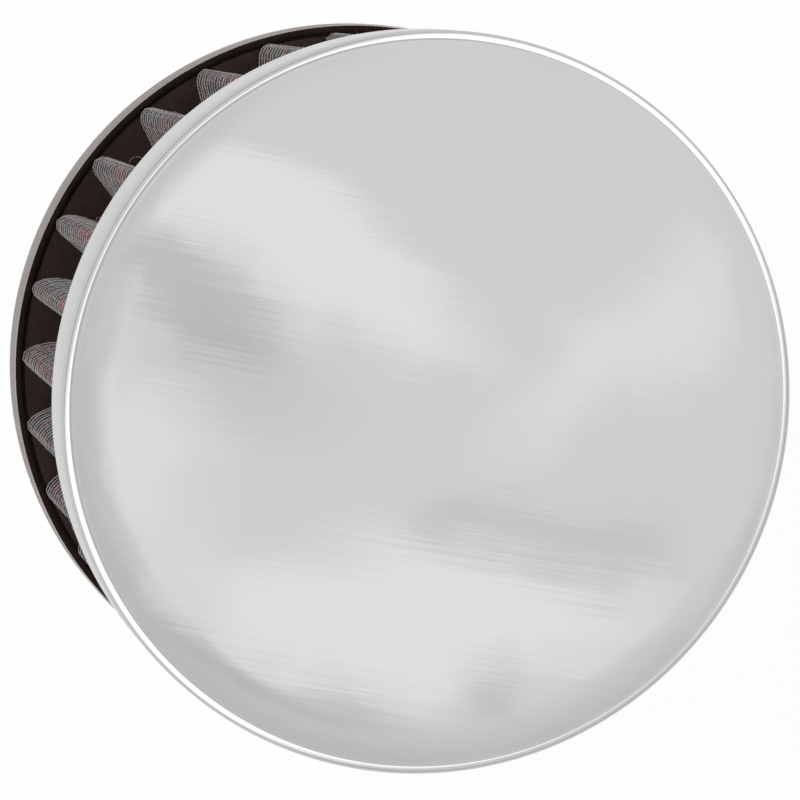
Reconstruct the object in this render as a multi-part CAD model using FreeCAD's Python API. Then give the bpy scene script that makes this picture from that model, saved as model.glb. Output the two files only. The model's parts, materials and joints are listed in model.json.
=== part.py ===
"""Crankcase breather filter: a pleated gauze element between a pressed steel cap and pan.

Millimetres, +Z up along the filter's axis, origin at the centre of the neck's lower end.
"""
import FreeCAD
import Part
import math
import os

# Steel shell
SHELL_DIAMETER = 76.2
BODY_HEIGHT = 44.45
SHEET = 0.7
CORNER_RADIUS = 1.0
CAP_SKIRT = 8.0
CAP_MARGIN = 2.0
CAP_MARGIN_DROP = 0.15
PAN_DEPTH = 5.0

# Potting: how far its face lies inside the edge of the skirt and of the pan
POTTING_RECESS = 0.6

# Inlet neck, which pushes into a grommet
NECK_DIAMETER = 25.4
NECK_WALL = 0.9
NECK_REACH = 22.0
NECK_UPSTAND = 1.0
NECK_LEAD = 0.6
NECK_COLLAR = 1.2

# Pleated media: gauze between two screens
GAUZE = 1.0
SCREEN = 0.35
MEDIA_INSET = 1.5
PLEAT_DEPTH = 13.0
PLEAT_AIR_GAP = 0.7
INNER_FOLD_GAP = 1.2
FOLD_FACETS = 4

# Levels up the axis
PAN_Z = NECK_REACH
PAN_FLOOR_Z = PAN_Z + SHEET
PAN_RIM_Z = PAN_Z + PAN_DEPTH
BASE_POTTING_Z = PAN_RIM_Z - POTTING_RECESS
NECK_TOP_Z = BASE_POTTING_Z + NECK_UPSTAND
CAP_TOP_Z = PAN_Z + BODY_HEIGHT
CAP_UNDERSIDE_Z = CAP_TOP_Z - SHEET
SKIRT_Z = CAP_TOP_Z - CAP_SKIRT
CAP_POTTING_Z = SKIRT_Z + POTTING_RECESS

# Radii of the shell and of the neck
SHELL_RADIUS = SHELL_DIAMETER / 2
WALL_RADIUS = SHELL_RADIUS - SHEET
CORNER_CENTRE_R = SHELL_RADIUS - CORNER_RADIUS
MARGIN_R = CORNER_CENTRE_R - CAP_MARGIN
MARGIN_LEAN = math.atan2(CAP_MARGIN_DROP, CAP_MARGIN)
NECK_RADIUS = NECK_DIAMETER / 2
BORE_RADIUS = NECK_RADIUS - NECK_WALL

# Pleat folds: a half loop at each tip and at each inner fold, round the middle of the gauze
LAMINATE_HALF = GAUZE / 2 + SCREEN
FOLD_RADIUS = LAMINATE_HALF + PLEAT_AIR_GAP / 2
PLEAT_WIDTH = 2 * (FOLD_RADIUS + LAMINATE_HALF)
TIP_CENTRE_R = SHELL_RADIUS - MEDIA_INSET - PLEAT_WIDTH / 2
FOLD_CENTRE_R = SHELL_RADIUS - MEDIA_INSET - PLEAT_DEPTH + PLEAT_WIDTH / 2
PLEATS = math.floor(2 * math.pi * FOLD_CENTRE_R / (PLEAT_WIDTH + INNER_FOLD_GAP))
HALF_PITCH = math.pi / PLEATS


def section_point(r, z):
    """A point of a turned section, in the XZ plane."""
    return FreeCAD.Vector(r, 0, z)


def section_line(start, end):
    return Part.LineSegment(section_point(*start), section_point(*end)).toShape()


def section_arc(centre, radius, start_angle, end_angle):
    """An arc of a turned section, by its centre and its angles from +X towards +Z."""
    points = []
    for angle in (start_angle, (start_angle + end_angle) / 2, end_angle):
        r = centre[0] + radius * math.cos(angle)
        z = centre[1] + radius * math.sin(angle)
        points.append(section_point(r, z))
    return Part.Arc(*points).toShape()


def turned(edges):
    """The solid that a closed section sweeps round the axis."""
    wire = Part.Wire(Part.__sortEdges__(edges))
    return Part.Face(wire).revolve(FreeCAD.Vector(0, 0, 0), FreeCAD.Vector(0, 0, 1), 360)


def cap_outside():
    """The cap's outer section: flat panel, sloping margin, rounded corner and skirt."""
    tangent_r = CORNER_CENTRE_R + CORNER_RADIUS * math.sin(MARGIN_LEAN)
    tangent_z = CAP_TOP_Z - (tangent_r - MARGIN_R) * math.tan(MARGIN_LEAN)
    corner_z = tangent_z - CORNER_RADIUS * math.cos(MARGIN_LEAN)
    return [
        section_line((0, CAP_TOP_Z), (MARGIN_R, CAP_TOP_Z)),
        section_line((MARGIN_R, CAP_TOP_Z), (tangent_r, tangent_z)),
        section_arc((CORNER_CENTRE_R, corner_z), CORNER_RADIUS, math.pi / 2 - MARGIN_LEAN, 0),
        section_line((SHELL_RADIUS, corner_z), (SHELL_RADIUS, SKIRT_Z)),
    ]


def cap_inside(lower_z):
    """The cap's inner section, one sheet inside the outer one, down to a level."""
    margin_r = MARGIN_R - SHEET * math.tan(MARGIN_LEAN / 2)
    corner_z = CAP_UNDERSIDE_Z - (WALL_RADIUS - margin_r) * math.tan(MARGIN_LEAN)
    return [
        section_line((0, CAP_UNDERSIDE_Z), (margin_r, CAP_UNDERSIDE_Z)),
        section_line((margin_r, CAP_UNDERSIDE_Z), (WALL_RADIUS, corner_z)),
        section_line((WALL_RADIUS, corner_z), (WALL_RADIUS, lower_z)),
    ]


def top_cap():
    """Pressed cap: a flat panel, a sloping margin, a rounded corner and a turned-down skirt."""
    edges = cap_outside() + cap_inside(SKIRT_Z)
    edges.append(section_line((SHELL_RADIUS, SKIRT_Z), (WALL_RADIUS, SKIRT_Z)))
    edges.append(section_line((0, CAP_TOP_Z), (0, CAP_UNDERSIDE_Z)))
    return turned(edges)


def cap_potting():
    """The disc of potting that fills the cap down to just inside the skirt's edge."""
    edges = cap_inside(CAP_POTTING_Z)
    edges.append(section_line((WALL_RADIUS, CAP_POTTING_Z), (0, CAP_POTTING_Z)))
    edges.append(section_line((0, CAP_POTTING_Z), (0, CAP_UNDERSIDE_Z)))
    return turned(edges)


def base_pan():
    """Pressed pan with a rounded corner and a hole for the neck."""
    corner_z = PAN_Z + CORNER_RADIUS
    edges = [
        section_line((NECK_RADIUS, PAN_Z), (CORNER_CENTRE_R, PAN_Z)),
        section_arc((CORNER_CENTRE_R, corner_z), CORNER_RADIUS, -math.pi / 2, 0),
        section_line((SHELL_RADIUS, corner_z), (SHELL_RADIUS, PAN_RIM_Z)),
        section_line((SHELL_RADIUS, PAN_RIM_Z), (WALL_RADIUS, PAN_RIM_Z)),
        section_line((WALL_RADIUS, PAN_RIM_Z), (WALL_RADIUS, PAN_FLOOR_Z)),
        section_line((WALL_RADIUS, PAN_FLOOR_Z), (NECK_RADIUS, PAN_FLOOR_Z)),
        section_line((NECK_RADIUS, PAN_FLOOR_Z), (NECK_RADIUS, PAN_Z)),
    ]
    return turned(edges)


def base_potting():
    """The ring of potting that fills the pan from the neck to the wall."""
    edges = [
        section_line((NECK_RADIUS, PAN_FLOOR_Z), (WALL_RADIUS, PAN_FLOOR_Z)),
        section_line((WALL_RADIUS, PAN_FLOOR_Z), (WALL_RADIUS, BASE_POTTING_Z)),
        section_line((WALL_RADIUS, BASE_POTTING_Z), (NECK_RADIUS, BASE_POTTING_Z)),
        section_line((NECK_RADIUS, BASE_POTTING_Z), (NECK_RADIUS, PAN_FLOOR_Z)),
    ]
    return turned(edges)


def neck_tube():
    """Inlet tube with a tapered lead-in below and a collar rolled up against the pan."""
    lead_r = NECK_RADIUS - NECK_LEAD
    collar_r = NECK_RADIUS + NECK_COLLAR
    collar_z = PAN_Z - NECK_COLLAR
    edges = [
        section_line((BORE_RADIUS, 0), (lead_r, 0)),
        section_line((lead_r, 0), (NECK_RADIUS, NECK_LEAD)),
        section_line((NECK_RADIUS, NECK_LEAD), (NECK_RADIUS, collar_z)),
        section_line((NECK_RADIUS, collar_z), (collar_r, PAN_Z)),
        section_line((collar_r, PAN_Z), (NECK_RADIUS, PAN_Z)),
        section_line((NECK_RADIUS, PAN_Z), (NECK_RADIUS, NECK_TOP_Z)),
        section_line((NECK_RADIUS, NECK_TOP_Z), (BORE_RADIUS, NECK_TOP_Z)),
        section_line((BORE_RADIUS, NECK_TOP_Z), (BORE_RADIUS, 0)),
    ]
    return turned(edges)


def fold(centre_r, centre_angle, radius, start_angle, end_angle):
    """Points round one fold, in facets; its angles are counted from the fold's own radius."""
    points = []
    for step in range(FOLD_FACETS + 1):
        turn = start_angle + (end_angle - start_angle) * step / FOLD_FACETS
        x = centre_r * math.cos(centre_angle) + radius * math.cos(centre_angle + turn)
        y = centre_r * math.sin(centre_angle) + radius * math.sin(centre_angle + turn)
        points.append(FreeCAD.Vector(x, y, BASE_POTTING_Z))
    return points


def pleat_outline(outward):
    """The closed pleated line at a distance outward from the middle of the gauze.

    A flank touches the tip's loop on one side and the inner fold's loop on the other, so its
    lean is the bearing of the two centres less the turn that their radii take up.
    """
    run = TIP_CENTRE_R - FOLD_CENTRE_R * math.cos(HALF_PITCH)
    rise = FOLD_CENTRE_R * math.sin(HALF_PITCH)
    lean = math.atan2(rise, run) - math.asin(2 * FOLD_RADIUS / math.hypot(run, rise))
    tip_end = math.pi / 2 - lean
    fold_end = math.pi / 2 - lean - HALF_PITCH
    points = []
    for pleat in range(PLEATS):
        tip_angle = 2 * HALF_PITCH * pleat
        fold_angle = tip_angle + HALF_PITCH
        points += fold(TIP_CENTRE_R, tip_angle, FOLD_RADIUS + outward, -tip_end, tip_end)
        points += fold(FOLD_CENTRE_R, fold_angle, FOLD_RADIUS - outward,
                       math.pi + fold_end, math.pi - fold_end)
    return Part.makePolygon(points + points[:1])


def pleated_layer(outer, inner):
    """One layer of the media between two distances outward from the middle of the gauze."""
    face = Part.Face([pleat_outline(outer), pleat_outline(inner)])
    return face.extrude(FreeCAD.Vector(0, 0, CAP_POTTING_Z - BASE_POTTING_Z))


def outer_screen():
    return pleated_layer(LAMINATE_HALF, GAUZE / 2)


def gauze_media():
    return pleated_layer(GAUZE / 2, -GAUZE / 2)


def inner_screen():
    return pleated_layer(-GAUZE / 2, -LAMINATE_HALF)


PIECES = (top_cap, cap_potting, outer_screen, gauze_media, inner_screen, base_potting, base_pan,
          neck_tube)

os.makedirs("parts", exist_ok=True)
for piece in PIECES:
    piece().exportStep("parts/" + piece.__name__ + ".step")
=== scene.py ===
"""Crankcase breather filter: the dressed model, its finishes and its studio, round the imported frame."""
import json
import math

import bmesh
import bpy
from mathutils import Matrix, Vector


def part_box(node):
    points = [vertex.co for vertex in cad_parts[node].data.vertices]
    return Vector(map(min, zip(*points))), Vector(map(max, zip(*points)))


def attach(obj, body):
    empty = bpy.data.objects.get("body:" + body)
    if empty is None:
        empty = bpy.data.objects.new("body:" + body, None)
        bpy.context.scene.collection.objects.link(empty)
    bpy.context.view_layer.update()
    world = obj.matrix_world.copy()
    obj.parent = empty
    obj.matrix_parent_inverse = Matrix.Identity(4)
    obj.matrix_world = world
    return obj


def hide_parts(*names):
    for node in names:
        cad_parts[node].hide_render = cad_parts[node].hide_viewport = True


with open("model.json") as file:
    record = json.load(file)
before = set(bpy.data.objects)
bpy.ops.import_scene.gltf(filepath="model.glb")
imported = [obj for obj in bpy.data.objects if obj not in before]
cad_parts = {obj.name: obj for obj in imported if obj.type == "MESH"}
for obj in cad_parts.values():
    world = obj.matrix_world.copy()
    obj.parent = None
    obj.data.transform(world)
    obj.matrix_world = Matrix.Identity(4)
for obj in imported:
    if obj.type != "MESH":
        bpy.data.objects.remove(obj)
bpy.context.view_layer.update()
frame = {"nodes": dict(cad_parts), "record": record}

bl_info = {
    "name": "Breather Filter",
    "version": (1, 0, 0),
    "blender": (4, 5, 0),
    "location": "View3D > Sidebar > Breather",
    "description": "Builds a crankcase breather filter with its finishes and a plain studio",
    "category": "Object",
}

BODY = "root"
MM = 0.001
MOUNTS = {mount["name"]: mount["dims"] for mount in frame["record"]["mounts"]}

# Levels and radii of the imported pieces
CAP_LOW, CAP_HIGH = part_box("top_cap")
PAN_LOW, PAN_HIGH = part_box("base_pan")
NECK_LOW, NECK_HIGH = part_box("neck_tube")
MEDIA_LOW, MEDIA_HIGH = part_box("outer_screen")
SHELL_R = CAP_HIGH.x
MEDIA_R = MEDIA_HIGH.x
NECK_R = MOUNTS["neck"]["r_mm"] * MM
BORE_R = MOUNTS["neck_bore"]["r_mm"] * MM
COLLAR = NECK_HIGH.x - NECK_R

# Fineness of the meshes: steps round the axis, along a rounding, and along each fold of a pleat
TURNED_SEGMENTS = 240
ARC_STEPS = 10
EDGE_STEPS = 4
WIRE_STEPS = 16
GAUZE_STEPS = 10
FIBRE_STEPS = 6

# Shares of the wire's diameter: how far a course swings, and the uprights' width and set-back
WEAVE_SWING = 0.22
UPRIGHT_WIDTH = 0.35
UPRIGHT_SET_BACK = 0.6

FULL_TURN = 2 * math.pi
QUARTER = math.pi / 2


def linear(code):
    """A linear RGBA colour from an sRGB hex value."""
    channels = [int(code[i:i + 2], 16) / 255 for i in (1, 3, 5)]
    return tuple(c / 12.92 if c <= 0.04045 else ((c + 0.055) / 1.055) ** 2.4 for c in channels) + (1.0,)


def length_prop(name, description, default):
    return bpy.props.FloatProperty(name=name, description=description, default=default,
                                   subtype="DISTANCE", unit="LENGTH", precision=5)


def colour_prop(name, description, code):
    return bpy.props.FloatVectorProperty(name=name, description=description, default=linear(code),
                                         subtype="COLOR", size=4, min=0.0, max=1.0)


def angle_prop(name, description, degrees):
    return bpy.props.FloatProperty(name=name, description=description, default=math.radians(degrees),
                                   subtype="ANGLE", unit="ROTATION")


class BreatherShell(bpy.types.PropertyGroup):
    """Sizes of the pressed steel pieces."""
    sheet: length_prop("Sheet", "Thickness of the pressed steel", 0.7 * MM)
    corner: length_prop("Corner", "Outside radius of the cap's and pan's corners", 1.0 * MM)
    margin: length_prop("Margin", "Width of the cap's rounded-off margin", 4.5 * MM)
    margin_drop: length_prop("Margin drop", "How far the margin falls", 0.07 * MM)
    cut_edge: length_prop("Cut edge", "Radius that polishing leaves on the sheet's edge", 0.16 * MM)
    rim: length_prop("Rim", "Width of the pan's rim above the potting", 0.18 * MM)
    lead: length_prop("Lead-in", "Rounding at the neck's lower end", 0.6 * MM)


class BreatherMedia(bpy.types.PropertyGroup):
    """Sizes of the pleated gauze and its screens."""
    pleats: bpy.props.IntProperty(name="Pleats", description="Pleats round the filter", default=30, min=3)
    depth: length_prop("Pleat depth", "From the tip of a pleat to its inner fold", 13.0 * MM)
    gauze: length_prop("Gauze", "Thickness of the gauze", 1.0 * MM)
    screen: length_prop("Screen", "Thickness of a woven screen", 0.35 * MM)
    fold: length_prop("Fold", "Radius of a fold, at the middle of the gauze", 1.2 * MM)
    tip_taper: length_prop("Tip taper", "Length over which a pleat narrows to its tip", 4.5 * MM)
    tip_reach: length_prop("Tip reach", "How far the tips are moved out from the round fold", 0.95 * MM)
    wire: length_prop("Wire", "Diameter of the coated wire", 0.12 * MM)
    course: length_prop("Course spacing", "Spacing of the wires that run round the pleats", 1.55 * MM)
    upright: length_prop("Upright spacing", "Spacing of the wires that run up the pleats", 1.6 * MM)
    puff: length_prop("Puff", "How far the gauze swells between wires", 0.03 * MM)


class BreatherFinish(bpy.types.PropertyGroup):
    """Colours of the finishes."""
    chrome: colour_prop("Chrome", "Plated and polished steel", "#DCDCDD")
    buffing: angle_prop("Buffing", "Direction of the polishing marks", 110.9)
    # The satin grey is unpolished plating; its pink tint is a painted reflection of the red gauze, first set
    # for the pan.
    satin: colour_prop("Satin chrome", "Plated steel that was not polished", "#BFB7B4")
    # The pan's grey is its dull plating; its pink tint is a painted reflection of the red gauze.
    pan: colour_prop("Pan", "Plated steel that was left dull", "#B3ABA8")
    potting: colour_prop("Potting", "Poured black polyurethane", "#2A211D")
    dust: colour_prop("Dust", "Dust and lint on the potting", "#3C3330")
    wire: colour_prop("Wire", "Epoxy-coated wire", "#BCBBB9")
    gauze_dark: colour_prop("Gauze, deep", "Oiled cotton where the oil is thick", "#140709")
    gauze_light: colour_prop("Gauze, light", "Oiled cotton where the oil is thin", "#8E1F3B")


class BreatherStudio(bpy.types.PropertyGroup):
    """The camera and the light."""
    tilt: angle_prop("Tilt", "Angle between the view and the filter's axis", 14.68)
    axis_turn: angle_prop("Axis turn", "Where the axis points in the image, below the right", 27.53)
    turn: angle_prop("Turn", "Turn of the camera round the filter", 4.33)
    distance: length_prop("Distance", "From the camera to the cap, along the view", 0.3626)
    aside: length_prop("Aside", "How far the cap's centre lies right of the image's centre", 0.00363)
    below: length_prop("Below", "How far the cap's centre lies below the image's centre", 0.00074)
    focal: bpy.props.FloatProperty(name="Focal length", description="Lens on a 36 mm sensor", default=160.8)
    card_height: length_prop("Card height", "Height of the overhead card above the cap", 0.8)


def settings():
    """The filter's settings: shell, media, finish and studio."""
    scene = bpy.context.scene
    return scene.breather_shell, scene.breather_media, scene.breather_finish, scene.breather_studio


# Node helpers

def add_node(tree, kind, inputs=None, **values):
    """Adds a node, sets its values, and sets or links its inputs."""
    node = tree.nodes.new(kind)
    for key, value in values.items():
        setattr(node, key, value)
    for socket, value in (inputs or {}).items():
        if isinstance(value, bpy.types.NodeSocket):
            tree.links.new(value, node.inputs[socket])
        else:
            node.inputs[socket].default_value = value
    return node


def new_material(name):
    """An empty material and the output node that its shader goes to."""
    material = bpy.data.materials.new(name)
    material.use_nodes = True
    tree = material.node_tree
    tree.nodes.clear()
    return material, tree, tree.nodes.new("ShaderNodeOutputMaterial")


def object_mapping(tree, scale, turn=0.0, coordinates="Object"):
    """Texture coordinates in pattern repeats: scale is repeats per metre along each axis."""
    source = add_node(tree, "ShaderNodeTexCoord").outputs[coordinates]
    turned = add_node(tree, "ShaderNodeMapping", {"Vector": source, "Rotation": (0, 0, turn)})
    return add_node(tree, "ShaderNodeMapping", {"Vector": turned.outputs[0], "Scale": scale}).outputs[0]


def noise(tree, vector, detail=2.0, roughness=0.5, scale=1.0):
    return add_node(tree, "ShaderNodeTexNoise", {"Vector": vector, "Scale": scale, "Detail": detail,
                                                 "Roughness": roughness}).outputs["Fac"]


def remap(tree, value, low, high, to_low, to_high):
    return add_node(tree, "ShaderNodeMapRange", {0: value, 1: low, 2: high, 3: to_low, 4: to_high}).outputs[0]


def reckon(tree, operation, first, second):
    """One step of arithmetic in a node tree."""
    return add_node(tree, "ShaderNodeMath", {0: first, 1: second}, operation=operation).outputs[0]


def blend_colours(tree, factor, first, second):
    return add_node(tree, "ShaderNodeMix", {"Factor": factor, "A": first, "B": second},
                    data_type="RGBA").outputs["Result"]


# Finishes

def chrome_plate(name, colour, mark_height, roughness):
    """Bright nickel-chrome plate on buffed steel: a mirror with fine one-way polishing marks."""
    material, tree, output = new_material(name)
    turn = -bpy.context.scene.breather_finish.buffing
    marks = object_mapping(tree, (1 / (15 * MM), 1 / (0.6 * MM), 1 / (2 * MM)), turn)
    swell = object_mapping(tree, (1 / (18 * MM), 1 / (8 * MM), 1 / (18 * MM)), turn)
    haze = object_mapping(tree, (1 / (7 * MM),) * 3)
    broad = add_node(tree, "ShaderNodeBump", {"Height": noise(tree, swell, 1.0), "Strength": 1.0,
                                              "Distance": mark_height * 11})
    fine = add_node(tree, "ShaderNodeBump", {"Height": noise(tree, marks, 3.0), "Strength": 1.0,
                                             "Distance": mark_height, "Normal": broad.outputs[0]})
    gloss = remap(tree, noise(tree, haze, 4.0), 0.3, 0.75, roughness * 0.8, roughness * 1.4)
    shader = add_node(tree, "ShaderNodeBsdfPrincipled", {"Base Color": colour, "Metallic": 1.0,
                                                         "Roughness": gloss, "Normal": fine.outputs[0]})
    tree.links.new(shader.outputs[0], output.inputs[0])
    return material


def poured_polyurethane(name, colour, dust):
    """Poured polyurethane: black, a little glossy and uneven, with settled dust and lint."""
    material, tree, output = new_material(name)
    swell = object_mapping(tree, (1 / (2.6 * MM),) * 3)
    grain = object_mapping(tree, (1 / (0.35 * MM),) * 3)
    specks = remap(tree, noise(tree, grain, 2.0), 0.62, 0.74, 0.0, 0.5)
    patches = remap(tree, noise(tree, swell, 3.0), 0.35, 0.75, 0.0, 0.22)
    film = blend_colours(tree, patches, colour, dust)
    tone = blend_colours(tree, specks, film, dust)
    broad = add_node(tree, "ShaderNodeBump", {"Height": noise(tree, swell, 2.0), "Distance": 0.12 * MM})
    fine = add_node(tree, "ShaderNodeBump", {"Height": noise(tree, grain, 3.0), "Distance": 0.02 * MM,
                                             "Normal": broad.outputs[0]})
    gloss = remap(tree, noise(tree, grain, 2.0), 0.3, 0.7, 0.38, 0.6)
    shader = add_node(tree, "ShaderNodeBsdfPrincipled", {
        "Base Color": tone, "Roughness": gloss, "Specular IOR Level": 0.3, "Normal": fine.outputs[0]})
    tree.links.new(shader.outputs[0], output.inputs[0])
    return material


def coated_wire(name, colour):
    """Drawn aluminium wire under a thin grey epoxy coat: satin, with uneven coat."""
    material, tree, output = new_material(name)
    coat = object_mapping(tree, (1 / (0.8 * MM),) * 3)
    shade = blend_colours(tree, noise(tree, coat, 2.0), linear("#5C5B59"), colour)
    gloss = remap(tree, noise(tree, coat, 3.0), 0.3, 0.7, 0.25, 0.4)
    shader = add_node(tree, "ShaderNodeBsdfPrincipled", {"Base Color": shade, "Roughness": gloss,
                                                         "Specular IOR Level": 0.3})
    tree.links.new(shader.outputs[0], output.inputs[0])
    return material


def oiled_gauze(name, deep, light):
    """Cotton gauze in red filter oil: open weave, blotched where the oil is thin, with soft fuzz.

    The map runs along the pleated cloth and up it, in metres. The threads are drawn at 0.3 mm,
    coarser than the cloth's own, so that they show. The cloth is drawn paler towards the top.
    """
    material, tree, output = new_material(name)
    threads = object_mapping(tree, (1 / (0.5 * MM), 1 / (0.5 * MM), 1.0), coordinates="UV")
    blotch = object_mapping(tree, (1 / (3.5 * MM),) * 3)
    along = add_node(tree, "ShaderNodeTexWave", {"Vector": threads, "Scale": 0.5,
                                                 "Distortion": 1.2, "Detail": 2.0}, bands_direction="X")
    across = add_node(tree, "ShaderNodeTexWave", {"Vector": threads, "Scale": 0.5,
                                                  "Distortion": 1.2, "Detail": 2.0}, bands_direction="Y")
    weave = reckon(tree, "MAXIMUM", along.outputs["Fac"], across.outputs["Fac"])
    spot = add_node(tree, "ShaderNodeTexCoord").outputs["Object"]
    height = add_node(tree, "ShaderNodeSeparateXYZ", {0: spot}).outputs["Z"]
    # Paler towards the top: the height moves where the blotches turn to the paler colour.
    thin = remap(tree, height, MEDIA_LOW.z, MEDIA_HIGH.z, -0.08, 0.08)
    blotch_and_height = reckon(tree, "ADD", noise(tree, blotch, 3.0), thin)
    oil = remap(tree, blotch_and_height, 0.5, 0.62, 0.0, 1.0)
    tone = blend_colours(tree, oil, deep, light)
    thread_tone = blend_colours(tree, remap(tree, weave, 0.2, 0.9, 0.55, 0.0), tone, linear("#2A060E"))
    bump = add_node(tree, "ShaderNodeBump", {"Height": weave, "Distance": 0.12 * MM})
    shader = add_node(tree, "ShaderNodeBsdfPrincipled", {
        "Base Color": thread_tone, "Roughness": 0.7, "Sheen Weight": 0.12, "Sheen Roughness": 0.4,
        "Normal": bump.outputs[0]})
    tree.links.new(shader.outputs[0], output.inputs[0])
    return material


def loose_cotton(name, colour):
    """Loose cotton fibre, dyed by the oil: pale where light comes through it."""
    material, tree, output = new_material(name)
    strand = object_mapping(tree, (1 / (1.5 * MM),) * 3)
    tone = blend_colours(tree, noise(tree, strand, 2.0), colour, linear("#D9919C"))
    shader = add_node(tree, "ShaderNodeBsdfPrincipled", {"Base Color": tone, "Roughness": 0.75,
                                                         "Sheen Weight": 0.4})
    tree.links.new(shader.outputs[0], output.inputs[0])
    return material


# Shapes

def arc_points(centre_r, centre_z, radius, start, end, steps=ARC_STEPS):
    """Points of a section's arc, by its angles from the outward direction towards the top."""
    points = []
    for step in range(steps + 1):
        angle = start + (end - start) * step / steps
        points.append((centre_r + radius * math.cos(angle), centre_z + radius * math.sin(angle)))
    return points


def mesh_object(name, vertices, edges, faces):
    mesh = bpy.data.meshes.new(name)
    mesh.from_pydata(vertices, edges, faces)
    piece = bpy.data.objects.new(name, mesh)
    bpy.context.scene.collection.objects.link(piece)
    return piece


def turned_piece(name, section, sharp_degrees=35):
    """A closed section turned round the axis, smooth but for its sharp edges."""
    rings = []
    vertices = []
    for r, z in section:
        first = len(vertices)
        count = TURNED_SEGMENTS if r > 0 else 1
        for step in range(count):
            angle = FULL_TURN * step / TURNED_SEGMENTS
            vertices.append((r * math.cos(angle), r * math.sin(angle), z))
        rings.append([first + step % count for step in range(TURNED_SEGMENTS + 1)])
    faces = []
    for lower, upper in zip(rings, rings[1:] + rings[:1]):
        for step in range(TURNED_SEGMENTS):
            corners = (lower[step], lower[step + 1], upper[step + 1], upper[step])
            face = tuple(dict.fromkeys(corners))
            if len(face) > 2:
                faces.append(face)
    piece = mesh_object(name, vertices, [], faces)
    shell = bmesh.new()
    shell.from_mesh(piece.data)
    bmesh.ops.recalc_face_normals(shell, faces=shell.faces)
    shell.to_mesh(piece.data)
    shell.free()
    piece.data.shade_smooth()
    piece.data.set_sharp_from_angle(angle=math.radians(sharp_degrees))
    return piece


def pleat_line(outward, steps):
    """The closed pleated line at a distance outward from the middle of the gauze."""
    media = bpy.context.scene.breather_media
    half_width = media.fold + media.gauze / 2 + media.screen
    tip_r = MEDIA_R - half_width
    fold_r = MEDIA_R - media.depth + half_width
    half_pitch = math.pi / media.pleats
    run = tip_r - fold_r * math.cos(half_pitch)
    rise = fold_r * math.sin(half_pitch)
    lean = math.atan2(rise, run) - math.asin(2 * media.fold / math.hypot(run, rise))
    tip_end = QUARTER - lean
    fold_end = QUARTER - lean - half_pitch
    tip = media.fold + outward
    taper = media.tip_taper / (media.fold + media.gauze / 2 + media.screen / 2)
    inner = media.fold - outward
    points = []
    for pleat in range(media.pleats):
        bearing = 2 * half_pitch * pleat
        for step in range(steps + 1):
            depth, aside = tip_point(2 * step / steps - 1, taper)
            out = tip_r + media.tip_reach + tip * (1 - depth)
            points.append(placed(bearing, out, tip * aside * math.sin(tip_end)))
        for step in range(steps + 1):
            angle = math.pi + fold_end * (1 - 2 * step / steps)
            out = fold_r + inner * math.cos(angle)
            points.append(placed(bearing + half_pitch, out, inner * math.sin(angle)))
    return points


def tip_point(part, taper):
    """Depth and side of a point of a pleat's tip, which leans over, as parts of its half width.

    The first side rounds over into the front, which slants back to a crease on the second side.
    """
    crease_part = 0.4
    crease = (0.45, 0.5)
    if part > crease_part:
        along = (part - crease_part) / (1 - crease_part)
        return tuple(a + (b - a) * along for a, b in zip(crease, (taper, 1.0)))
    along = (part + 1) / (1 + crease_part)
    shares = ((1 - along) ** 3, 3 * along * (1 - along) ** 2, 3 * along ** 2 * (1 - along), along ** 3)
    pulls = ((taper, -1.0), (0.6, -0.95), (-0.5, -0.35), crease)
    return tuple(sum(share * pull[axis] for share, pull in zip(shares, pulls)) for axis in (0, 1))


def placed(bearing, out, aside):
    """The place of a point that lies outward along a bearing and then aside from it."""
    return (out * math.cos(bearing) - aside * math.sin(bearing),
            out * math.sin(bearing) + aside * math.cos(bearing))


def line_carrier(name, outward, z):
    """A mesh of edges only, along the pleated line, for a node tree to build on."""
    points = pleat_line(outward, WIRE_STEPS)
    edges = [(i, (i + 1) % len(points)) for i in range(len(points))]
    return mesh_object(name, [(x, y, z) for x, y in points], edges, [])


# Geometry node trees

def new_tree(name, sockets):
    """A geometry node group with named inputs, and its input and output nodes."""
    tree = bpy.data.node_groups.new(name, "GeometryNodeTree")
    tree.interface.new_socket("Geometry", in_out="INPUT", socket_type="NodeSocketGeometry")
    for socket, kind in sockets.items():
        tree.interface.new_socket(socket, in_out="INPUT", socket_type=kind)
    tree.interface.new_socket("Geometry", in_out="OUTPUT", socket_type="NodeSocketGeometry")
    return tree, tree.nodes.new("NodeGroupInput").outputs, tree.nodes.new("NodeGroupOutput").inputs


def finish_tree(tree, geometry, material, output):
    """Realize Instances and Set Material, into the group's output."""
    smooth = add_node(tree, "GeometryNodeSetShadeSmooth", {"Geometry": geometry})
    real = add_node(tree, "GeometryNodeRealizeInstances", {"Geometry": smooth.outputs[0]})
    done = add_node(tree, "GeometryNodeSetMaterial", {"Geometry": real.outputs[0], "Material": material})
    tree.links.new(done.outputs[0], output["Geometry"])


def along_z(tree, value):
    return add_node(tree, "ShaderNodeCombineXYZ", {"Z": value}).outputs[0]


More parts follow.
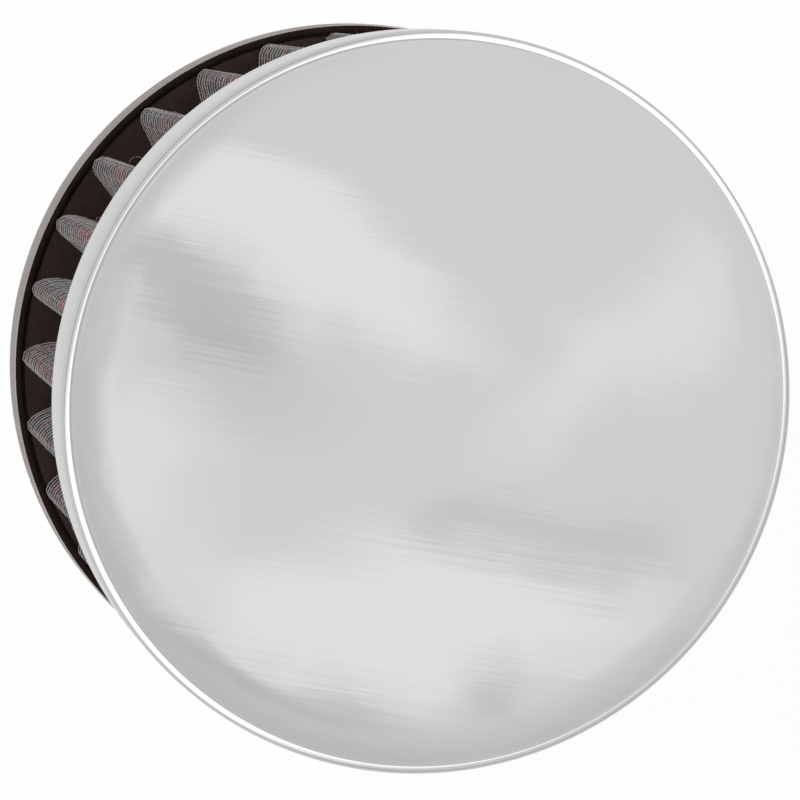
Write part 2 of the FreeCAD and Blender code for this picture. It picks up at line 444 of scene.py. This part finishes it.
def course_tree():
    """Wires that run round a pleated line, one above another, and pass in and out of the uprights."""
    tree, given, output = new_tree("Woven Courses", {
        "Wire": "NodeSocketFloat", "Sides": "NodeSocketInt", "Course": "NodeSocketFloat",
        "Courses": "NodeSocketInt", "Upright": "NodeSocketFloat", "Material": "NodeSocketMaterial"})
    line = add_node(tree, "GeometryNodeMeshToCurve", {"Mesh": given["Geometry"]}).outputs[0]
    step = reckon(tree, "DIVIDE", given["Upright"], 2.0)
    fine = add_node(tree, "GeometryNodeResampleCurve", {"Curve": line, "Length": step}, mode="LENGTH")
    first_course = reckon(tree, "MULTIPLY", given["Course"], 0.5)
    levels = add_node(tree, "GeometryNodeMeshLine", {
        "Count": given["Courses"], "Start Location": along_z(tree, first_course),
        "Offset": along_z(tree, given["Course"])})
    stacked = add_node(tree, "GeometryNodeInstanceOnPoints", {"Points": levels.outputs[0],
                                                              "Instance": fine.outputs[0]})
    courses = add_node(tree, "GeometryNodeRealizeInstances", {"Geometry": stacked.outputs[0]}).outputs[0]
    outward = add_node(tree, "ShaderNodeVectorMath", {
        0: add_node(tree, "GeometryNodeInputTangent").outputs[0], 1: (0, 0, 1)}, operation="CROSS_PRODUCT")
    travelled = add_node(tree, "GeometryNodeSplineParameter").outputs["Length"]
    position = add_node(tree, "GeometryNodeInputPosition").outputs[0]
    level = add_node(tree, "ShaderNodeSeparateXYZ", {0: position}).outputs["Z"]
    turns = reckon(tree, "ADD", reckon(tree, "DIVIDE", travelled, given["Upright"]),
                   reckon(tree, "DIVIDE", level, given["Course"]))
    swing = add_node(tree, "ShaderNodeMath", {0: reckon(tree, "MULTIPLY", turns, math.pi)}, operation="SINE")
    weave = reckon(tree, "MULTIPLY", swing.outputs[0], reckon(tree, "MULTIPLY", given["Wire"], WEAVE_SWING))
    offset = add_node(tree, "ShaderNodeVectorMath", {0: outward.outputs[0], "Scale": weave},
                      operation="SCALE")
    woven = add_node(tree, "GeometryNodeSetPosition", {"Geometry": courses, "Offset": offset.outputs[0]})
    section = add_node(tree, "GeometryNodeCurvePrimitiveCircle", {
        "Resolution": given["Sides"], "Radius": reckon(tree, "MULTIPLY", given["Wire"], 0.5)})
    wires = add_node(tree, "GeometryNodeCurveToMesh", {
        "Curve": woven.outputs[0], "Profile Curve": section.outputs[0]})
    finish_tree(tree, wires.outputs[0], given["Material"], output)
    return tree


def upright_tree():
    """Straight wires that stand along a pleated line."""
    tree, given, output = new_tree("Upright Wires", {
        "Wire": "NodeSocketFloat", "Upright": "NodeSocketFloat", "Height": "NodeSocketFloat",
        "Material": "NodeSocketMaterial"})
    line = add_node(tree, "GeometryNodeMeshToCurve", {"Mesh": given["Geometry"]}).outputs[0]
    posts = add_node(tree, "GeometryNodeResampleCurve", {"Curve": line, "Length": given["Upright"]},
                     mode="LENGTH")
    feet = add_node(tree, "GeometryNodeCurveToPoints", {"Curve": posts.outputs[0]}, mode="EVALUATED")
    post = add_node(tree, "GeometryNodeCurvePrimitiveLine", {"End": along_z(tree, given["Height"])})
    standing = add_node(tree, "GeometryNodeInstanceOnPoints", {"Points": feet.outputs[0],
                                                               "Instance": post.outputs[0]})
    real = add_node(tree, "GeometryNodeRealizeInstances", {"Geometry": standing.outputs[0]})
    section = add_node(tree, "GeometryNodeCurvePrimitiveCircle", {
        "Resolution": 6, "Radius": reckon(tree, "MULTIPLY", given["Wire"], 0.5)})
    wires = add_node(tree, "GeometryNodeCurveToMesh", {
        "Curve": real.outputs[0], "Profile Curve": section.outputs[0], "Fill Caps": True})
    finish_tree(tree, wires.outputs[0], given["Material"], output)
    return tree


def bead_tree():
    """A round bead along a line."""
    tree, given, output = new_tree("Round Bead", {
        "Radius": "NodeSocketFloat", "Sides": "NodeSocketInt", "Material": "NodeSocketMaterial"})
    line = add_node(tree, "GeometryNodeMeshToCurve", {"Mesh": given["Geometry"]}).outputs[0]
    section = add_node(tree, "GeometryNodeCurvePrimitiveCircle", {"Resolution": given["Sides"],
                                                                  "Radius": given["Radius"]})
    bead = add_node(tree, "GeometryNodeCurveToMesh", {
        "Curve": line, "Profile Curve": section.outputs[0], "Fill Caps": True})
    finish_tree(tree, bead.outputs[0], given["Material"], output)
    return tree


def fibre_tree():
    """Short curled fibres that stand out of a cloth."""
    tree, given, output = new_tree("Loose Fibres", {
        "Density": "NodeSocketFloat", "Length": "NodeSocketFloat", "Radius": "NodeSocketFloat",
        "Seed": "NodeSocketInt", "Material": "NodeSocketMaterial"})
    points = add_node(tree, "GeometryNodeDistributePointsOnFaces", {
        "Mesh": given["Geometry"], "Density": given["Density"], "Seed": given["Seed"]})
    length = given["Length"]
    bend = add_node(tree, "ShaderNodeCombineXYZ", {"X": reckon(tree, "MULTIPLY", length, 0.1),
                                                   "Z": reckon(tree, "MULTIPLY", length, 0.7)})
    tip = add_node(tree, "ShaderNodeCombineXYZ", {"X": length, "Z": reckon(tree, "MULTIPLY", length, 0.35)})
    curl = add_node(tree, "GeometryNodeCurveQuadraticBezier", {
        "Resolution": 5, "Start": (0, 0, 0), "Middle": bend.outputs[0], "End": tip.outputs[0]})
    spin = add_node(tree, "FunctionNodeRandomValue", {"Min": (-0.7, -0.7, 0.0), "Max": (0.7, 0.7, FULL_TURN),
                                                      "Seed": given["Seed"]}, data_type="FLOAT_VECTOR")
    turned = add_node(tree, "FunctionNodeRotateRotation", {
        "Rotation": points.outputs["Rotation"], "Rotate By": spin.outputs[0]}, rotation_space="LOCAL")
    size = add_node(tree, "FunctionNodeRandomValue", {2: 0.35, 3: 1.3, "Seed": given["Seed"]},
                    data_type="FLOAT")
    placed = add_node(tree, "GeometryNodeInstanceOnPoints", {
        "Points": points.outputs["Points"], "Instance": curl.outputs[0],
        "Rotation": turned.outputs[0], "Scale": size.outputs[1]})
    real = add_node(tree, "GeometryNodeRealizeInstances", {"Geometry": placed.outputs[0]})
    section = add_node(tree, "GeometryNodeCurvePrimitiveCircle", {"Resolution": 4, "Radius": given["Radius"]})
    strands = add_node(tree, "GeometryNodeCurveToMesh", {
        "Curve": real.outputs[0], "Profile Curve": section.outputs[0], "Fill Caps": True})
    finish_tree(tree, strands.outputs[0], given["Material"], output)
    return tree


def grow(carrier, tree, name, **inputs):
    """Runs a node tree on a carrier and returns its result as a plain mesh object."""
    modifier = carrier.modifiers.new(tree.name, "NODES")
    modifier.node_group = tree
    identifiers = {item.name: item.identifier for item in tree.interface.items_tree
                   if item.item_type == "SOCKET" and item.in_out == "INPUT"}
    for socket, value in inputs.items():
        modifier[identifiers[socket]] = value
    bpy.context.view_layer.update()
    depsgraph = bpy.context.evaluated_depsgraph_get()
    mesh = bpy.data.meshes.new_from_object(carrier.evaluated_get(depsgraph), depsgraph=depsgraph)
    if not mesh.polygons:
        raise RuntimeError(name + " came out empty")
    carrier.modifiers.remove(modifier)
    bpy.data.objects.remove(carrier)
    piece = bpy.data.objects.new(name, mesh)
    mesh.name = name
    bpy.context.scene.collection.objects.link(piece)
    return piece


def seat(piece, slot, *nodes, material=None):
    """Gives a piece its material and body, and hides the nodes that it stands for."""
    if material:
        piece.data.materials.clear()
        piece.data.materials.append(material)
    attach(piece, BODY)
    if nodes:
        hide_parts(*nodes)


class BREATHER_OT_cap(bpy.types.Operator):
    """Builds the pressed and polished cap"""
    bl_idname = "breather.cap"
    bl_label = "Cap"

    def execute(self, context):
        shell, _, finish, _ = settings()
        centre_r = SHELL_R - shell.corner
        margin_r = centre_r - shell.margin
        top = CAP_HIGH.z
        lean = math.atan2(2 * shell.margin_drop, shell.margin)
        margin = []
        for step in range(ARC_STEPS + 1):
            part = step / ARC_STEPS
            margin.append((margin_r + shell.margin * part, top - shell.margin_drop * part ** 2))
        corner_z = margin[-1][1] - shell.corner * math.cos(lean)
        inner_r = SHELL_R - shell.sheet
        edge = shell.cut_edge
        edge_z = CAP_LOW.z + edge
        section = [(0, top)] + margin
        section += arc_points(centre_r, corner_z, shell.corner, QUARTER - lean, 0)
        section += arc_points(SHELL_R - edge, edge_z, edge, 0, -QUARTER, EDGE_STEPS)
        section += arc_points(inner_r + edge, edge_z, edge, -QUARTER, -math.pi, EDGE_STEPS)
        section += [(inner_r, top - shell.sheet - shell.margin_drop), (0, top - shell.sheet)]
        cap = turned_piece("cap_shell", section)
        seat(cap, "cap_chrome", "top_cap",
             material=chrome_plate("polished_chrome_plate", finish.chrome, 0.002 * MM, 0.04))
        return {"FINISHED"}


class BREATHER_OT_pan(bpy.types.Operator):
    """Builds the pressed base pan"""
    bl_idname = "breather.pan"
    bl_label = "Base pan"

    def execute(self, context):
        shell, _, finish, _ = settings()
        low = PAN_LOW.z
        high = PAN_HIGH.z
        inner_r = SHELL_R - shell.sheet
        edge = shell.cut_edge
        section = [(NECK_R, low)]
        section += arc_points(SHELL_R - shell.corner, low + shell.corner, shell.corner, -QUARTER, 0)
        section += arc_points(SHELL_R - edge, high - edge, edge, 0, QUARTER, EDGE_STEPS)
        rim_r = SHELL_R - shell.rim
        section += [(rim_r, high), (inner_r, high - shell.sheet), (inner_r, low + shell.sheet)]
        section += [(NECK_R, low + shell.sheet)]
        pan = turned_piece("pan_shell", section)
        # The pan colour carries a painted reflection of the red gauze in its pink tint.
        seat(pan, "pan_chrome", "base_pan",
             material=chrome_plate("plated_pan", finish.pan, 0.001 * MM, 0.5))
        return {"FINISHED"}


class BREATHER_OT_neck(bpy.types.Operator):
    """Builds the inlet neck"""
    bl_idname = "breather.neck"
    bl_label = "Neck"

    def execute(self, context):
        shell, _, finish, _ = settings()
        collar_z = PAN_LOW.z - COLLAR
        section = [(BORE_R, NECK_LOW.z)]
        section += arc_points(NECK_R - shell.lead, NECK_LOW.z + shell.lead, shell.lead, -QUARTER, 0, 6)
        section += [(NECK_R, collar_z), (NECK_R + COLLAR * 0.92, PAN_LOW.z - COLLAR * 0.12),
                    (NECK_R + COLLAR, PAN_LOW.z)]
        section += [(NECK_R, PAN_LOW.z), (NECK_R, NECK_HIGH.z), (BORE_R, NECK_HIGH.z)]
        neck = turned_piece("neck_shell", section, 50)
        # The neck's satin colour carries the same painted reflection of the red gauze in its pink tint.
        seat(neck, "neck_steel", "neck_tube",
             material=chrome_plate("plated_neck", finish.satin, 0.001 * MM, 0.22))
        return {"FINISHED"}


class BREATHER_OT_potting(bpy.types.Operator):
    """Finishes the potting and adds the bead that crept up the pan's wall"""
    bl_idname = "breather.potting"
    bl_label = "Potting"

    def execute(self, context):
        shell, _, finish, _ = settings()
        material = poured_polyurethane("poured_polyurethane", finish.potting, finish.dust)
        for name in ("base_potting", "cap_potting"):
            node = frame["nodes"][name]
            node.data.materials.clear()
            node.data.materials.append(material)
        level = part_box("base_potting")[1].z
        inner_r = SHELL_R - shell.sheet
        rise = PAN_HIGH.z - level
        section = [(inner_r - 0.9 * rise, level), (inner_r - 0.3 * rise, level + 0.5 * rise),
                   (inner_r, level + 0.75 * rise), (SHELL_R - shell.rim, level + 0.9 * rise),
                   (inner_r, level)]
        seat(turned_piece("potting_creep", section, 80), "potting", material=material)
        return {"FINISHED"}


class BREATHER_OT_gauze(bpy.types.Operator):
    """Builds the pleated gauze, swollen a little between the wires"""
    bl_idname = "breather.gauze"
    bl_label = "Gauze"

    def execute(self, context):
        _, media, finish, _ = settings()
        rows = 2 * round((MEDIA_HIGH.z - MEDIA_LOW.z) / media.course)
        height = MEDIA_HIGH.z - MEDIA_LOW.z
        vertices = []
        across = []
        walls = []
        for side in (1, -1):
            lines = {}
            for swell in (0, 1):
                lines[swell] = pleat_line(side * (media.gauze / 2 + swell * media.puff), GAUZE_STEPS)
            count = len(lines[0])
            travelled = [0.0]
            for i in range(count):
                ahead = lines[0][(i + 1) % count]
                travelled.append(travelled[-1] + math.dist(lines[0][i], ahead))
            first = len(vertices)
            for row in range(rows + 1):
                z = MEDIA_LOW.z + height * row / rows
                for i in range(count):
                    x, y = lines[row % 2][i]
                    vertices.append((x, y, z))
                    across.append((travelled[i], z))
            walls.append((first, count))
        faces = []
        for (first, count), flip in zip(walls, (False, True)):
            for row in range(rows):
                for i in range(count):
                    a = first + row * count + i
                    b = first + row * count + (i + 1) % count
                    face = (a, b, b + count, a + count)
                    faces.append(face[::-1] if flip else face)
        outer, inner = walls[0][0], walls[1][0]
        count = walls[0][1]
        for row, flip in ((0, True), (rows, False)):
            for i in range(count):
                j = (i + 1) % count
                a, b = outer + row * count + i, outer + row * count + j
                c, d = inner + row * count + j, inner + row * count + i
                faces.append((d, c, b, a) if flip else (a, b, c, d))
        cloth = mesh_object("gauze_pleats", vertices, [], faces)
        uv = cloth.data.uv_layers.new(name="Cloth")
        for loop in cloth.data.loops:
            uv.data[loop.index].uv = across[loop.vertex_index]
        cloth.data.shade_smooth()
        material = oiled_gauze("oiled_cotton_gauze", finish.gauze_dark, finish.gauze_light)
        seat(cloth, "gauze", "gauze_media", material=material)
        return {"FINISHED"}


class BREATHER_OT_screens(bpy.types.Operator):
    """Weaves the wire screens on both sides of the gauze"""
    bl_idname = "breather.screens"
    bl_label = "Screens"

    def execute(self, context):
        _, media, finish, _ = settings()
        material = coated_wire("epoxy_coated_wire", finish.wire)
        around = course_tree()
        up = upright_tree()
        height = MEDIA_HIGH.z - MEDIA_LOW.z
        courses = math.floor(height / media.course)
        lower = courses // 2
        spread = media.gauze / 2 + media.screen / 2
        # The inner screen's courses are drawn at twice the spacing, since little of them shows
        plans = (("outer_wires_low", spread, 0, lower, media.course, 5),
                 ("outer_wires_high", spread, lower * media.course, courses - lower, media.course, 4),
                 ("inner_wires", -spread, 0, lower, 2 * media.course, 4))
        for name, outward, rise, count, course, sides in plans:
            carrier = line_carrier(name + "_line", outward, MEDIA_LOW.z + rise)
            wires = grow(carrier, around, name, Wire=media.wire, Sides=sides, Course=course, Courses=count,
                         Upright=media.upright, Material=material)
            seat(wires, "screen_wire")
        set_back = spread - media.wire * UPRIGHT_SET_BACK
        for name, node, outward in (("outer_uprights", "outer_screen", set_back),
                                    ("inner_uprights", "inner_screen", -spread)):
            carrier = line_carrier(name + "_line", outward, MEDIA_LOW.z)
            wires = grow(carrier, up, name, Wire=media.wire * UPRIGHT_WIDTH, Upright=media.upright,
                         Height=height, Material=material)
            seat(wires, "screen_wire", node)
        return {"FINISHED"}


class BREATHER_OT_fibres(bpy.types.Operator):
    """Adds the cotton fibres and threads that stand out through the screen"""
    bl_idname = "breather.fibres"
    bl_label = "Fibres"

    def execute(self, context):
        _, media, finish, _ = settings()
        material = loose_cotton("loose_cotton", finish.gauze_light)
        fibres = fibre_tree()
        points = pleat_line(media.gauze / 2 + media.screen / 2, FIBRE_STEPS)
        per_pleat = 2 * (FIBRE_STEPS + 1)
        sparse = self.cloth("fibre_cloth", points + points[:1])
        seat(grow(sparse, fibres, "cotton_fibres", Density=9000.0, Length=1.6 * MM, Radius=0.025 * MM,
                  Seed=7, Material=material), "gauze")
        worn_pleat = 25
        first = worn_pleat * per_pleat - 1
        worn = self.cloth("worn_cloth", points[first:first + FIBRE_STEPS // 2 + 1])
        seat(grow(worn, fibres, "worn_fibres", Density=1.1e6, Length=0.7 * MM, Radius=0.022 * MM, Seed=3,
                  Material=material), "gauze")
        beads = bead_tree()
        for pleat, foot, rise, bulge in ((22, 9 * MM, 12 * MM, 1.2 * MM), (23, 14 * MM, 5 * MM, 0.8 * MM)):
            line = self.thread_line(pleat, foot, rise, bulge)
            seat(grow(line, beads, "loose_thread_" + str(pleat), Radius=0.022 * MM, Sides=6,
                      Material=material), "gauze")
        return {"FINISHED"}

    def cloth(self, name, points):
        """A bare strip of cloth along points of the pleated line, for fibres to stand on."""
        count = len(points)
        vertices = [(x, y, z) for z in (MEDIA_LOW.z + 1 * MM, MEDIA_HIGH.z - 4 * MM) for x, y in points]
        faces = [(i, i + 1, count + i + 1, count + i) for i in range(count - 1)]
        return mesh_object(name, vertices, [], faces)

    def thread_line(self, pleat, foot, rise, bulge):
        """A thread that leaves the side of a pleat, bows away from it and comes back higher up."""
        media = bpy.context.scene.breather_media
        half_width = media.fold + media.gauze / 2 + media.screen
        radius = MEDIA_R - half_width * 0.6
        steps = 14
        points = []
        for step in range(steps + 1):
            part = step / steps
            away = half_width - 0.3 * MM + bulge * math.sin(math.pi * part) ** 0.7
            angle = FULL_TURN * pleat / media.pleats - away / radius
            wobble = 0.3 * MM * math.sin(3 * math.pi * part)
            points.append(((radius + wobble) * math.cos(angle), (radius + wobble) * math.sin(angle),
                           MEDIA_LOW.z + foot + rise * part))
        return mesh_object("thread_line", points, [(i, i + 1) for i in range(steps)], [])


class BREATHER_OT_stage(bpy.types.Operator):
    """Sets the floor, the overhead card, the lamps and the camera"""
    bl_idname = "breather.stage"
    bl_label = "Stage"

    def execute(self, context):
        _, _, _, studio = settings()
        scene = context.scene
        scene.view_settings.view_transform = "Standard"
        self.floor()
        self.card(studio)
        self.world(scene)
        self.lamp("key_lamp", (0.03, -0.8, 0.65), 0.7, 9.0)
        self.lamp("fill_lamp", (-0.55, 0.25, 0.75), 0.6, 0.8)
        self.camera(scene, studio)
        return {"FINISHED"}

    def floor(self):
        """A white floor, which stays nearly white to the camera and to mirrors and is clear from below."""
        size = 3.0
        corners = [(-size, -size, 0), (size, -size, 0), (size, size, 0), (-size, size, 0)]
        floor = mesh_object("studio_floor", corners, [], [(0, 1, 2, 3)])
        material, tree, output = new_material("studio_white")
        path = add_node(tree, "ShaderNodeLightPath")
        mirrored = reckon(tree, "MULTIPLY", path.outputs["Is Glossy Ray"], 0.8)
        seen = reckon(tree, "MAXIMUM", path.outputs["Is Camera Ray"], path.outputs["Is Transmission Ray"])
        share = reckon(tree, "MAXIMUM", mirrored, reckon(tree, "MULTIPLY", seen, 0.97))
        paper = add_node(tree, "ShaderNodeBsdfDiffuse", {"Color": linear("#F4F4F4")})
        level = reckon(tree, "SUBTRACT", 1.0, reckon(tree, "MULTIPLY", path.outputs["Is Glossy Ray"], 0.25))
        glow = add_node(tree, "ShaderNodeEmission", {"Color": (1, 1, 1, 1), "Strength": level})
        mix = add_node(tree, "ShaderNodeMixShader", {0: share, 1: paper.outputs[0], 2: glow.outputs[0]})
        below = add_node(tree, "ShaderNodeNewGeometry").outputs["Backfacing"]
        clear = add_node(tree, "ShaderNodeBsdfTransparent")
        sides = add_node(tree, "ShaderNodeMixShader", {0: below, 1: mix.outputs[0], 2: clear.outputs[0]})
        tree.links.new(sides.outputs[0], output.inputs[0])
        floor.data.materials.append(material)

    def card(self, studio):
        """An overhead card, lit in soft patches, which the cap mirrors.

        The card stands where the camera sees it in the cap, and its own coordinates are millimetres on
        the cap: x to the right in the image and y up it.
        """
        drop = studio.distance * math.cos(studio.tilt)
        scale = (1 + studio.card_height / drop) * MM
        half = 75
        card = mesh_object("overhead_card", [(-half, -half, 0), (-half, half, 0), (half, half, 0),
                                             (half, -half, 0)], [], [(0, 1, 2, 3)])
        place = Vector((0, studio.card_height * math.tan(studio.tilt), CAP_HIGH.z + studio.card_height))
        card.location = Matrix.Rotation(studio.turn, 3, "Z") @ place
        card.rotation_euler = (0, 0, QUARTER + studio.axis_turn + studio.turn)
        card.scale = (scale, scale, scale)
        material, tree, output = new_material("overhead_light")
        glow = add_node(tree, "ShaderNodeEmission", {"Color": (1, 1, 1, 1)})
        flat = add_node(tree, "ShaderNodeTexCoord").outputs["Object"]
        ripple = add_node(tree, "ShaderNodeTexNoise", {"Vector": flat, "Scale": 1 / 13, "Detail": 3.0})
        centred = add_node(tree, "ShaderNodeVectorMath", {0: ripple.outputs["Color"], 1: (0.5, 0.5, 0.5)},
                           operation="SUBTRACT")
        source = add_node(tree, "ShaderNodeVectorMath", {0: centred.outputs[0], 1: (22, 12, 0), 2: flat},
                          operation="MULTIPLY_ADD").outputs[0]
        sheet = self.patch(tree, source, 0.66, (9, 9), (60, 60), 0, 0.2, 0.6)
        window = self.patch(tree, source, sheet, (-12, 17), (25, 7), -34, 0.17, 0.6)
        shade = self.patch(tree, source, window, (-24, 12), (18, 4.5), -28, -0.15, 0.5)
        hollow = self.patch(tree, source, shade, (-17, 4), (14, 9), -20, -0.07)
        side = self.patch(tree, source, hollow, (-30, -6), (10, 20), 10, 0.14)
        front = self.patch(tree, source, side, (0, -22), (34, 12), 2, 0.18, 0.4)
        flag = self.patch(tree, source, front, (-17, -32), (22, 6), -16, -0.1, 0.4)
        post = self.patch(tree, source, flag, (10, -31), (4, 8), 20, -0.12)
        bar = self.patch(tree, source, post, (14, -15), (18, 5), -8, -0.18, 0.45)
        tone = self.patch(tree, source, bar, (24, 6), (24, 8), 40, 0.12)
        tree.links.new(tone, glow.inputs["Strength"])
        tree.links.new(glow.outputs[0], output.inputs[0])
        card.data.materials.append(material)

    def patch(self, tree, source, below, centre, half_size, degrees, weight, core=0.2):
        """Adds a soft oval patch of light or shade, of a weight, to what lies below it."""
        spot = add_node(tree, "ShaderNodeMapping", {
            "Vector": source, "Location": (*centre, 0), "Rotation": (0, 0, math.radians(degrees)),
            "Scale": (*half_size, 1)}, vector_type="TEXTURE")
        reach = add_node(tree, "ShaderNodeVectorMath", {0: spot.outputs[0]}, operation="LENGTH")
        soft = self.ramp(tree, reach.outputs["Value"], core, 1.1, 1.0, 0.0)
        return add_node(tree, "ShaderNodeMath", {0: soft, 1: weight, 2: below},
                        operation="MULTIPLY_ADD").outputs[0]

    def world(self, scene):
        """White to the camera; to mirrors, bright all round, darker overhead and on two opposite sides."""
        world = bpy.data.worlds.new("studio_surround")
        world.use_nodes = True
        tree = world.node_tree
        tree.nodes.clear()
        direction = add_node(tree, "ShaderNodeTexCoord").outputs["Generated"]
        height = add_node(tree, "ShaderNodeSeparateXYZ", {0: direction}).outputs["Z"]
        overhead = self.ramp(tree, height, 0.86, 0.95, 1.55, 0.62)
        low = self.ramp(tree, height, 0.12, 0.3, 0.55, 0.0)
        ring = reckon(tree, "SUBTRACT", overhead, low)
        bearing = math.radians(77)
        toward = add_node(tree, "ShaderNodeVectorMath", {
            0: direction, 1: (math.cos(bearing), math.sin(bearing), 0)},
            operation="DOT_PRODUCT").outputs["Value"]
        either_way = add_node(tree, "ShaderNodeMath", {0: toward}, operation="ABSOLUTE").outputs[0]
        flag = reckon(tree, "MULTIPLY", self.ramp(tree, either_way, 0.35, 0.75, 0.0, 0.5),
                      self.ramp(tree, height, 0.8, 0.92, 1.0, 0.0))
        mirrored = reckon(tree, "MULTIPLY", ring, reckon(tree, "SUBTRACT", 1.0, flag))
        path = add_node(tree, "ShaderNodeLightPath")
        level = add_node(tree, "ShaderNodeMix", {
            "Factor": path.outputs["Is Glossy Ray"], "A": 0.16, "B": mirrored}).outputs["Result"]
        strength = reckon(tree, "MAXIMUM", level, path.outputs["Is Camera Ray"])
        sky = add_node(tree, "ShaderNodeBackground", {"Color": (1, 1, 1, 1), "Strength": strength})
        add_node(tree, "ShaderNodeOutputWorld", {0: sky.outputs[0]})
        scene.world = world

    def ramp(self, tree, value, low, high, to_low, to_high):
        return add_node(tree, "ShaderNodeMapRange", {0: value, 1: low, 2: high, 3: to_low, 4: to_high},
                        interpolation_type="SMOOTHSTEP").outputs[0]

    def lamp(self, name, place, size, power):
        data = bpy.data.lights.new(name, "AREA")
        data.shape = "DISK"
        data.size = size
        data.energy = power
        lamp = bpy.data.objects.new(name, data)
        lamp.location = place
        lamp.visible_glossy = False
        lamp.rotation_euler = (Vector((0, 0, CAP_LOW.z)) - Vector(place)).to_track_quat("-Z", "Y").to_euler()
        bpy.context.scene.collection.objects.link(lamp)

    def camera(self, scene, studio):
        """The camera looks down the axis at a tilt, turned so that the axis points to the lower right."""
        data = bpy.data.cameras.new("photo_camera")
        data.sensor_width = 36.0
        data.lens = studio.focal
        data.clip_start = 0.01
        data.clip_end = 20.0
        camera = bpy.data.objects.new("photo_camera", data)
        scene.collection.objects.link(camera)
        sine, cosine = math.sin(studio.tilt), math.cos(studio.tilt)
        forward = Vector((0, sine, -cosine))
        level_right = Vector((1, 0, 0))
        level_down = forward.cross(level_right)
        roll_sine, roll_cosine = -math.cos(studio.axis_turn), -math.sin(studio.axis_turn)
        right = roll_cosine * level_right + roll_sine * level_down
        down = roll_cosine * level_down - roll_sine * level_right
        place = Vector((0, 0, CAP_HIGH.z)) - right * studio.aside - down * studio.below \
            - forward * studio.distance
        columns = (right, -down, -forward)
        turn = Matrix([[column[row] for column in columns] for row in range(3)]).to_4x4()
        camera.matrix_world = Matrix.Rotation(studio.turn, 4, "Z") @ Matrix.Translation(place) @ turn
        scene.camera = camera


OPERATORS = (BREATHER_OT_cap, BREATHER_OT_pan, BREATHER_OT_neck, BREATHER_OT_potting, BREATHER_OT_gauze,
             BREATHER_OT_screens, BREATHER_OT_fibres, BREATHER_OT_stage)
GROUPS = {"breather_shell": BreatherShell, "breather_media": BreatherMedia, "breather_finish": BreatherFinish,
          "breather_studio": BreatherStudio}


class BREATHER_PT_panel(bpy.types.Panel):
    """Lists the sizes, the finishes and the steps"""
    bl_idname = "BREATHER_PT_panel"
    bl_label = "Breather Filter"
    bl_space_type = "VIEW_3D"
    bl_region_type = "UI"
    bl_category = "Breather"

    def draw(self, context):
        for group, kind in GROUPS.items():
            box = self.layout.box()
            for name in kind.__annotations__:
                box.prop(getattr(context.scene, group), name)
        for operator in OPERATORS:
            self.layout.operator(operator.bl_idname)


def register():
    for group, kind in GROUPS.items():
        bpy.utils.register_class(kind)
        setattr(bpy.types.Scene, group, bpy.props.PointerProperty(type=kind))
    for kind in OPERATORS + (BREATHER_PT_panel,):
        bpy.utils.register_class(kind)


def unregister():
    for kind in (BREATHER_PT_panel,) + OPERATORS[::-1]:
        bpy.utils.unregister_class(kind)
    for group, kind in GROUPS.items():
        delattr(bpy.types.Scene, group)
        bpy.utils.unregister_class(kind)


def main():
    register()
    for operator in OPERATORS:
        group, name = operator.bl_idname.split(".")
        getattr(getattr(bpy.ops, group), name)()


if __name__ == "__main__":
    main()
